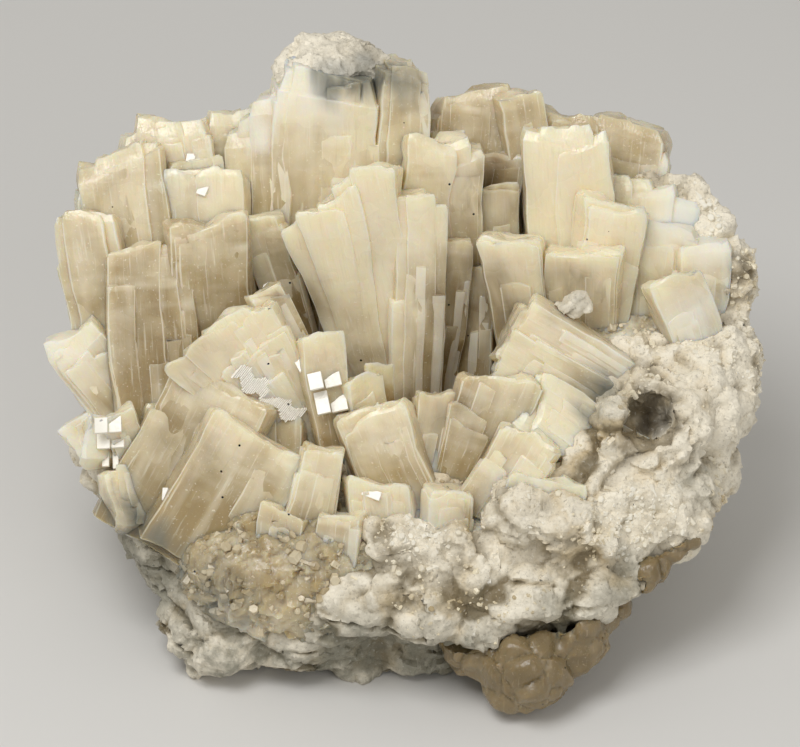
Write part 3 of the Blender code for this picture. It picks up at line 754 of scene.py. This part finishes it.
def rockMaterial(name, finish):
    material, nodes = tree(name)
    shader = nodes.nodes["Principled BSDF"]
    place = placeInMm(nodes)
    clouds = noiseAt(nodes, place, 14, 4, 0.6)
    patches = noiseAt(nodes, place, 6, 4, 0.6)
    grit = noiseAt(nodes, place, 0.8, 4, 0.7)
    height = add(nodes, "SeparateXYZ", {0: place}).outputs[2]
    low = spread(nodes, height, 34, 8)
    marksAndShade = add(nodes, "SeparateXYZ", {0: add(nodes, "Attribute", attribute_name="marksAndShade").outputs["Vector"]})
    # deep carries the painted shade of the recesses and the cavity
    frost, grey, deep = marksAndShade.outputs
    relief = add(nodes, "Attribute", attribute_name="relief").outputs["Fac"]
    colour = mixColour(nodes, spread(nodes, clouds, 0.40, 0.62), finish["white"], finish["tan"])
    # painted shade: darker in the valleys and the ledge cracks, whiter on the high lumps
    colour = mixColour(nodes, spread(nodes, relief, 0.5, 0.22), colour, finish["valleyShade"])
    colour = mixColour(nodes, maths(nodes, "MULTIPLY", frost, 0.85), colour, finish["white"])
    colour = mixColour(nodes, spread(nodes, relief, 0.55, 0.8, 0, 0.95), colour, finish["white"])
    colour = mixColour(nodes, spread(nodes, patches, 0.6, 0.76, 0, 0.4), colour, finish["grey"])
    # painted shade: darkest in the cavity and the recesses
    colour = mixColour(nodes, maths(nodes, "MULTIPLY", deep, 0.85), colour, finish["dark"])
    colour = mixColour(nodes, maths(nodes, "MULTIPLY", grey, 0.8), colour, finish["grey"])
    # painted shade: greyer low down towards the underside rim
    lowShade = maths(nodes, "MULTIPLY", low, spread(nodes, patches, 0.35, 0.6))
    colour = mixColour(nodes, maths(nodes, "MULTIPLY", lowShade, 0.8), colour, finish["grey"])
    colour = mixColour(nodes, spread(nodes, grit, 0.45, 0.25, 0, 0.6), colour, finish["dark"])
    # painted glints: tiny near-white specks on the grit
    colour = mixColour(nodes, spread(nodes, grit, 0.6, 0.8, 0, 0.8), colour, finish["paintedGlint"])
    nodes.links.new(colour, shader.inputs["Base Color"])
    rough = spread(nodes, grit, 0.4, 0.7, 0.6, 0.28)
    nodes.links.new(rough, shader.inputs["Roughness"])
    fine = maths(nodes, "MULTIPLY", facetsAt(nodes, place, 0.9), 0.5)
    bumpHeight = maths(nodes, "ADD", fine, maths(nodes, "MULTIPLY", grit, 0.25))
    bump = add(nodes, "Bump", {"Height": bumpHeight, "Distance": mm, "Strength": 0.9})
    nodes.links.new(bump.outputs[0], shader.inputs["Normal"])
    return material


# The pale rock

rockLook = {
    "voxel": 0.75,
    "lumpSize": 13,
    "lumps": 0.9,
    "blocks": 1.0,
    "grit": 0.22,
    "ledges": 1.6,
    "marked": True,
}
lobeLook = dict(rockLook, voxel=0.6, lumpSize=7, lumps=0.6, blocks=0.15, grit=0.12, ledges=0, marked=False)
crustLook = dict(rockLook, voxel=0.45, lumpSize=8, lumps=0.25, blocks=0.6, grit=0.3, ledges=0)
crumbLook = dict(crustLook, marked=False)

# The small cavity is opened wider: centre on the display face, radius and depth in mm
hollows = [((51, -9, 12), 6, 3), ((46, -14, 12), 5, 2), ((38, -3, 12), 5, 1.5)]


def mergedCopy(name, nodeName):
    shape = bmesh.new()
    shape.from_mesh(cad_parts[nodeName].data)
    bmesh.ops.remove_doubles(shape, verts=shape.verts, dist=0.005 * mm)
    return objectOf(name, meshFrom(name, shape))


def growRock(name, nodeName, look):
    rock = remeshed(mergedCopy(name, nodeName), look["voxel"])
    points = pointsOf(rock.data) / mm
    normals = normalsOf(rock.data)
    push = look["lumps"] * (softNoise(points, 5, 31) + 0.6 * softNoise(points, 2.4, 32))
    border, number, facet = cellNoise(points, look["lumpSize"], 38)
    push += look["lumps"] * 2.4 * (np.minimum(1, border / 0.45) ** 0.6 - 0.6)
    for size, share in ((5.5, 1.0), (2.8, 0.5)):
        border, number, facet = cellNoise(points, size, 33)
        push += share * look["blocks"] * (0.8 * (number - 0.5) + 1.9 * facet)
    push += look["grit"] * softNoise(points, 1.3, 36)
    # relief is low in the valleys and the cracks, where the rock material paints shade
    relief = np.clip(0.5 + push / 3.2 + 0.3 * softNoise(points, 7, 39), 0, 1)
    layer = (points[:, 2] + 0.12 * points[:, 0] + 3 * softNoise(points, 16, 71)) / 5.5
    crack = np.clip(1 - np.abs(layer - np.floor(layer) - 0.5) / 0.09, 0, 1)
    crack *= np.clip((34 - points[:, 2]) / 8, 0, 1) * (softNoise(points, 9, 72) > -0.1)
    push -= look["ledges"] * crack
    # the ledge cracks also get painted shade through relief
    relief -= 0.5 * crack * look["ledges"]
    rock.data.attributes.new("relief", "FLOAT", "POINT").data.foreach_set("value", relief.astype(np.float32))
    points += normals * push[:, None]
    seen = np.array(onDisplay(0, 0, 1) - onDisplay(0, 0, 0))
    for centre, radius, depth in hollows:
        apart = points - np.array(onDisplay(*centre))
        apart -= 0.75 * (apart @ seen)[:, None] * seen
        ragged = 1 + 0.35 * softNoise(points, 4, 73)
        fade = np.clip(1.3 - np.linalg.norm(apart, axis=1) / (radius * ragged), 0, 1)
        points -= seen * (depth * fade * (normals @ seen > 0))[:, None]
    points[:, 2] = np.maximum(points[:, 2], 0.0)
    setPoints(rock.data, points * mm)
    writeOwnTone(rock.data, (0.6, 0.5, 0))
    if look["marked"]:
        writeMarksAndShade(rock.data)
    return smoothShaded(rock, 32)


print("growing crystals")
witherite = witheriteMaterial("milky witherite", crystalFinish)
nextSeed = 1
crystalPieces = []
for pieceName, crystals in (
    ("towerCrystals", towerGrowth),
    ("centreFan", centreGrowth),
    ("leftWall", wallGrowth),
    ("leftEdgeLumps", edgeGrowth),
    ("frontLeftSlabs", frontLeftGrowth),
    ("frontRow", frontGrowth),
    ("backRightBlocks", backRightGrowth),
    ("rightSheaf", rightGrowth),
    ("backCrystals", backGrowth),
    ("crystalsBetween", betweenGrowth),
):
    cluster, nextSeed = growCrystals(pieceName, crystals, nextSeed)
    crystalPieces.append(finished(cluster, witherite, "witherite", "witherite_crystals"))

# The bed of small crystals that the large ones stand in: centres and radii in mm, on the object's own axes
bedLumps = [
    ((0, 8, 26), (42, 28, 11)),
    ((6, 2, 30), (20, 12, 9)),
    ((-19, -29, 23), (25, 13, 14)),
    ((-42, 16, 39), (20, 17, 20)),
    ((6, 36, 54), (44, 11, 20)),
    ((46, 12, 42), (21, 20, 16)),
    ((4, -25, 25), (32, 12, 9)),
]


def growBed(name, lumps, voxel):
    shape = bmesh.new()
    for centre, radii in lumps:
        place = Matrix.Translation(Vector(centre) * mm) @ Matrix.Diagonal((*(Vector(radii) * mm), 1))
        bmesh.ops.create_icosphere(shape, subdivisions=4, radius=1, matrix=place)
    bed = remeshed(objectOf(name, meshFrom(name, shape)), voxel)
    points = pointsOf(bed.data) / mm
    normals = normalsOf(bed.data)
    border, number, facet = cellNoise(points, 5, 41)
    push = 1.4 * (number - 0.5) + 2.2 * facet
    border, number, facet = cellNoise(points, 2.6, 43)
    push += 0.7 * (number - 0.5) + 1.0 * facet + 0.3 * softNoise(points, 2.2, 42)
    points += normals * push[:, None]
    setPoints(bed.data, points * mm)
    writeOwnTone(bed.data, (0.55, 0.45, 0))
    writeMarksAndShade(bed.data)
    return smoothShaded(bed, 30)


def seedling(sides, height, inset, seed):  # one small crystal, standing at the origin, 1 mm wide
    shape = bmesh.new()
    bmesh.ops.create_cone(shape, cap_ends=True, segments=sides, radius1=0.42, radius2=0.5, depth=height)
    end = [face for face in shape.faces if face.normal.z > 0.9]
    bmesh.ops.inset_individual(shape, faces=end, thickness=inset, depth=inset * 0.8)
    bmesh.ops.scale(shape, vec=(1, 0.55 + 0.3 * (seed % 2), 1), verts=shape.verts)
    bmesh.ops.triangulate(shape, faces=shape.faces)
    return meshFrom("seedling", shape)


def scatter(name, ground, look, wanted):
    # small crystals rooted in the ground mesh wherever wanted() says how likely they are
    dice = np.random.default_rng(look["seed"])
    mesh = ground.data
    mesh.calc_loop_triangles()
    corners = np.empty(len(mesh.loop_triangles) * 3, np.int32)
    mesh.loop_triangles.foreach_get("vertices", corners)
    triangles = pointsOf(mesh)[corners.reshape(-1, 3)] / mm
    cross = np.cross(triangles[:, 1] - triangles[:, 0], triangles[:, 2] - triangles[:, 0])
    area = np.linalg.norm(cross, axis=1) / 2
    normal = cross / (2 * area[:, None] + 1e-12)
    middle = triangles.mean(axis=1)
    chance = area * wanted(middle, normal)
    picked = dice.choice(len(area), size=look["count"], p=chance / chance.sum())

    kinds = [seedling(sides, height, inset, n) for n, (sides, height, inset) in enumerate(look["kinds"])]
    shapes = []
    for kind in kinds:
        kind.calc_loop_triangles()
        faces = np.empty(len(kind.loop_triangles) * 3, np.int32)
        kind.loop_triangles.foreach_get("vertices", faces)
        shapes.append((pointsOf(kind), faces.reshape(-1, 3)))
    allPoints, allFaces, allTone, total = [], [], [], 0
    for place in picked:
        points, faces = shapes[dice.integers(len(shapes))]
        lean = normal[place] + look["lean"] * dice.normal(size=3)
        turned = np.array(Vector(lean).to_track_quat("Z", "Y").to_matrix())
        spin = np.array(Matrix.Rotation(dice.uniform(0, 2 * math.pi), 3, "Z"))
        low, high = look["size"]
        size = low + (high - low) * dice.uniform() ** 2.2
        grownPoints = (points * size) @ (turned @ spin).T + middle[place]
        grownPoints += normal[place] * size * dice.uniform(*look["sink"])
        allPoints.append(grownPoints)
        allFaces.append(faces + total)
        tone = [dice.uniform(*look["share"]), dice.uniform(0.3, 0.7), 0.0]
        allTone.append(np.tile(tone, (len(faces) * 3, 1)))
        total += len(points)
    made = bpy.data.meshes.new(name)
    made.from_pydata(np.concatenate(allPoints) * mm, [], np.concatenate(allFaces))
    writeOwnTone(made, np.concatenate(allTone))
    writeMarksAndShade(made)
    return objectOf(name, made)


bedDruse = {
    "seed": 5,
    "count": 6000,
    "size": (0.7, 2.6),
    "kinds": [(6, 1.3, 0.1), (6, 1.9, 0.08), (4, 1.2, 0.07), (5, 1.6, 0.1)],
    "lean": 1.2,
    "sink": (-0.75, -0.3),
    "share": (0.35, 0.85),
}
rimDruse = {
    "seed": 8,
    "count": 5000,
    "size": (0.5, 1.7),
    "kinds": [(6, 1.2, 0.12), (6, 1.6, 0.1), (4, 1.1, 0.1), (5, 1.3, 0.12)],
    "lean": 1.2,
    "sink": (-0.6, -0.25),
    "share": (0.5, 1.1),
}


def onBed(middle, normal):
    return (0.25 + (middle[:, 2] > 12)) * (normal[:, 2] > -0.5)


def onRim(middle, normal):
    # thick on the upper front and right of the rock, thin low down and behind
    rim = np.clip((middle[:, 2] - 16) / 22, 0, 1) * np.clip(1.2 - middle[:, 1] / 60, 0.15, 1.2)
    patch = np.clip(0.5 + 1.6 * softNoise(middle, 12, 61), 0.03, 1)
    return rim * patch * (normal[:, 2] > -0.35) * (patchValue(middle, recessShadePatches) < 0.1)


print("growing the bed and the rock")
bed = growBed("crystalBed", bedLumps, 0.9)
finished(bed, witherite, "witherite", "witherite_crystals")
sugary = witheriteMaterial("sugary witherite", dict(crystalFinish, milkiness=0))
finished(scatter("bedCrystals", bed, bedDruse, onBed), sugary, "witherite", "witherite_crystals")
rock = rockMaterial("chalky rock", rockFinish)
palePiece = growRock("paleRock", "matrix", rockLook)
finished(palePiece, rock, "pale_rock", "matrix")
finished(scatter("rimCrystals", palePiece, rimDruse, onRim), sugary, "pale_rock", "matrix")

# The lobes' own tan, darkened further as painted shade of the underside
shadedTanFinish = dict(
    crystalFinish,
    cream=(0.34, 0.26, 0.145, 1),
    tan=(0.19, 0.14, 0.065, 1),
    milk=(0.40, 0.32, 0.20, 1),
    edge=(0.46, 0.38, 0.25, 1),
    glow=0.002,
)
crustFinish = dict(rockFinish, tan=(0.70, 0.64, 0.52, 1), grey=(0.42, 0.41, 0.36, 1), valleyShade=(0.5, 0.45, 0.35, 1))
lobes = growRock("undersideLobes", "underside_nodules", lobeLook)
finished(lobes, witheriteMaterial("shaded tan witherite", shadedTanFinish), "tan_witherite", "underside_nodules")
white = rockMaterial("white crust", crustFinish)
finished(growRock("towerCap", "tower_crust", crustLook), white, "white_crust", "tower_crust")
finished(growRock("whiteCrumb", "crumb", crumbLook), white, "white_crust", "crumb")

# Cleavage flakes, their near-white colour a painted highlight: place on the display face, width and height in mm, and
# turn in degrees. The flakes of one group lie in one plane.
dice = random.Random(4)
combAlong = Vector((0.80, -0.60))
combAcross = Vector((0.60, 0.80))
comb = []
for number in range(46):  # the combed cleavage down the striated slab
    shift = -7.6 + number * 0.34
    step = 0.8 * math.sin(number * 0.45) + dice.uniform(-0.15, 0.15)
    place = Vector((-26.0, -4.2)) + combAlong * shift + combAcross * step
    comb.append((*place, 0.27, 4.6 - 0.16 * abs(shift) - dice.uniform(0, 0.5), -37))
flakeGroups = [
    [(-16.7, -1.4, 2.8, 3.4, 14), (-13.5, -0.6, 3.3, 4.0, 14), (-15.4, -5.7, 2.7, 4.6, 14), (-12.3, -5.1, 3.3, 4.9, 14)],
    [(-19.9, 2.1, 1.6, 3.6, 30)],
    [(-59.2, -10.2, 2.6, 3.2, 4), (-56.5, -10.0, 2.6, 3.2, 4), (-58.9, -13.3, 2.6, 3.2, 4), (-56.1, -13.1, 2.6, 3.2, 4)],
    [(-58.6, -17.0, 1.4, 3.0, 4), (-56.6, -17.2, 1.2, 3.4, 4)],
    [(-5.6, -23.6, 3.8, 1.8, -20)],
    [(-42.0, 43.8, 1.8, 2.6, -8)],
    [(-39.6, 36.8, 2.0, 2.2, -20)],
    [(-46.4, -23.8, 1.4, 2.6, 0)],
    [(17.4, -40.6, 0.8, 0.8, 10)],
    comb,
]
flakeLook = {"thickness": 0.8, "proud": 0.2, "spread": 5}


def depthAt(trees, across, up):  # how far out the surface seen at this place of the display face lies
    seen = onDisplay(0, 0, 1) - onDisplay(0, 0, 0)
    start = onDisplay(across, up, 200) * mm
    hits = [tree.ray_cast(start, -seen) for tree in trees]
    return 200 - min(hit[3] for hit in hits if hit[0]) / mm


def flakeAt(shape, flake, out, facing, lean):
    across, up, width, height, turn = flake
    normal = (Matrix.Rotation(math.radians(lean), 3, "X") @ facing).normalized()
    upward = onDisplay(0, 1, 0) - onDisplay(0, 0, 0)
    side = upward.cross(normal).normalized()
    facing = Matrix((side, normal.cross(side), normal)).transposed().to_4x4()
    box = (width * mm, height * mm, flakeLook["thickness"] * mm, 1)
    spin = Matrix.Rotation(math.radians(turn), 4, "Z")
    place = onDisplay(across, up, out) * mm - normal * 0.5 * flakeLook["thickness"] * mm
    matrix = Matrix.Translation(place) @ facing @ spin @ Matrix.Diagonal(box)
    made = bmesh.ops.create_cube(shape, size=1, matrix=matrix)
    edges = {edge for vertex in made["verts"] for edge in vertex.link_edges}
    bmesh.ops.bevel(
        shape, geom=list(edges), offset=0.07 * mm, segments=1, affect="EDGES", profile=0.5, material=-1
    )


def layFlakes(name, pieces):
    graph = bpy.context.evaluated_depsgraph_get()
    trees = [BVHTree.FromObject(piece, graph) for piece in pieces]
    shape = bmesh.new()
    seen = onDisplay(0, 0, 1) - onDisplay(0, 0, 0)
    bright = (around(studio["keyAzimuth"], studio["keyElevation"], 1) - studio["aim"]).normalized()
    for group in flakeGroups:
        places = np.array([(1, flake[0], flake[1]) for flake in group])
        depths = np.array([depthAt(trees, *place[1:]) for place in places])
        plane = np.linalg.lstsq(places, depths, rcond=0.02)[0]
        lift = flakeLook["proud"] + np.percentile(depths - places @ plane, 80)
        facing = bright + seen
        if group is comb:
            facing = onDisplay(-plane[1], -plane[2], 1) - onDisplay(0, 0, 0)
        for flake, place in zip(group, places):
            flakeAt(shape, flake, place @ plane + lift, facing, dice.uniform(-1, 1) * flakeLook["spread"])
    flakes = objectOf(name, meshFrom(name, shape))
    writeOwnTone(flakes.data, (1.2, 0.9, 0))
    writeMarksAndShade(flakes.data)
    return flakes


# near-white colour painted as the highlight the flakes catch
highlightFinish = dict(crystalFinish, cream=(0.95, 0.92, 0.84, 1), milk=(0.96, 0.94, 0.88, 1), milkiness=0)

# Floor, light and camera

studio = {
    "floor": (0.72, 0.71, 0.69, 1),
    "keyAzimuth": -35,
    "keyElevation": 62,
    "keyPower": 3.4,
    "fillPower": 2.1,
    "sky": (0.95, 0.93, 0.88, 1),
    "skyStrength": 0.42,
    "aim": Vector((0, 0, 0.0506)),
    "cameraElevation": 35,
    "cameraDistance": 1.1,
    "lens": 247.5,
}


def makeFloor():
    shape = bmesh.new()
    bmesh.ops.create_grid(shape, x_segments=1, y_segments=1, size=4)
    floor = objectOf("studioFloor", meshFrom("studioFloor", shape))
    material, nodes = tree("pale floor")
    shader = nodes.nodes["Principled BSDF"]
    shader.inputs["Base Color"].default_value = studio["floor"]
    shader.inputs["Roughness"].default_value = 0.8
    floor.data.materials.append(material)


def around(azimuth, elevation, distance):
    turn, rise = math.radians(azimuth), math.radians(elevation)
    away = Vector((math.sin(turn) * math.cos(rise), -math.cos(turn) * math.cos(rise), math.sin(rise)))
    return studio["aim"] + away * distance


def makeLight(name, azimuth, elevation, distance, size, power):
    lamp = bpy.data.lights.new(name, "AREA")
    lamp.size = size
    lamp.energy = power
    placed = bpy.data.objects.new(name, lamp)
    placed.location = around(azimuth, elevation, distance)
    placed.rotation_euler = (studio["aim"] - placed.location).to_track_quat("-Z", "Y").to_euler()
    bpy.context.scene.collection.objects.link(placed)


print("laying the bright flakes")
flakes = layFlakes("brightFlakes", [*crystalPieces, bed, palePiece])
finished(flakes, witheriteMaterial("witherite painted as highlight", highlightFinish), "witherite", "witherite_crystals")

makeFloor()
makeLight("keyLight", studio["keyAzimuth"], studio["keyElevation"], 0.8, 0.4, studio["keyPower"])
makeLight("fillLight", 30, 30, 1.2, 0.8, studio["fillPower"])
world = bpy.data.worlds.new("studio")
world.use_nodes = True
world.node_tree.nodes["Background"].inputs["Color"].default_value = studio["sky"]
world.node_tree.nodes["Background"].inputs["Strength"].default_value = studio["skyStrength"]
bpy.context.scene.world = world

bpy.context.scene.view_settings.view_transform = "Standard"

camera = bpy.data.objects.new("camera", bpy.data.cameras.new("camera"))
camera.location = around(0, studio["cameraElevation"], studio["cameraDistance"])
camera.rotation_euler = (studio["aim"] - camera.location).to_track_quat("-Z", "Y").to_euler()
camera.data.lens = studio["lens"]
camera.data.sensor_width = 36
bpy.context.scene.collection.objects.link(camera)
bpy.context.scene.camera = camera
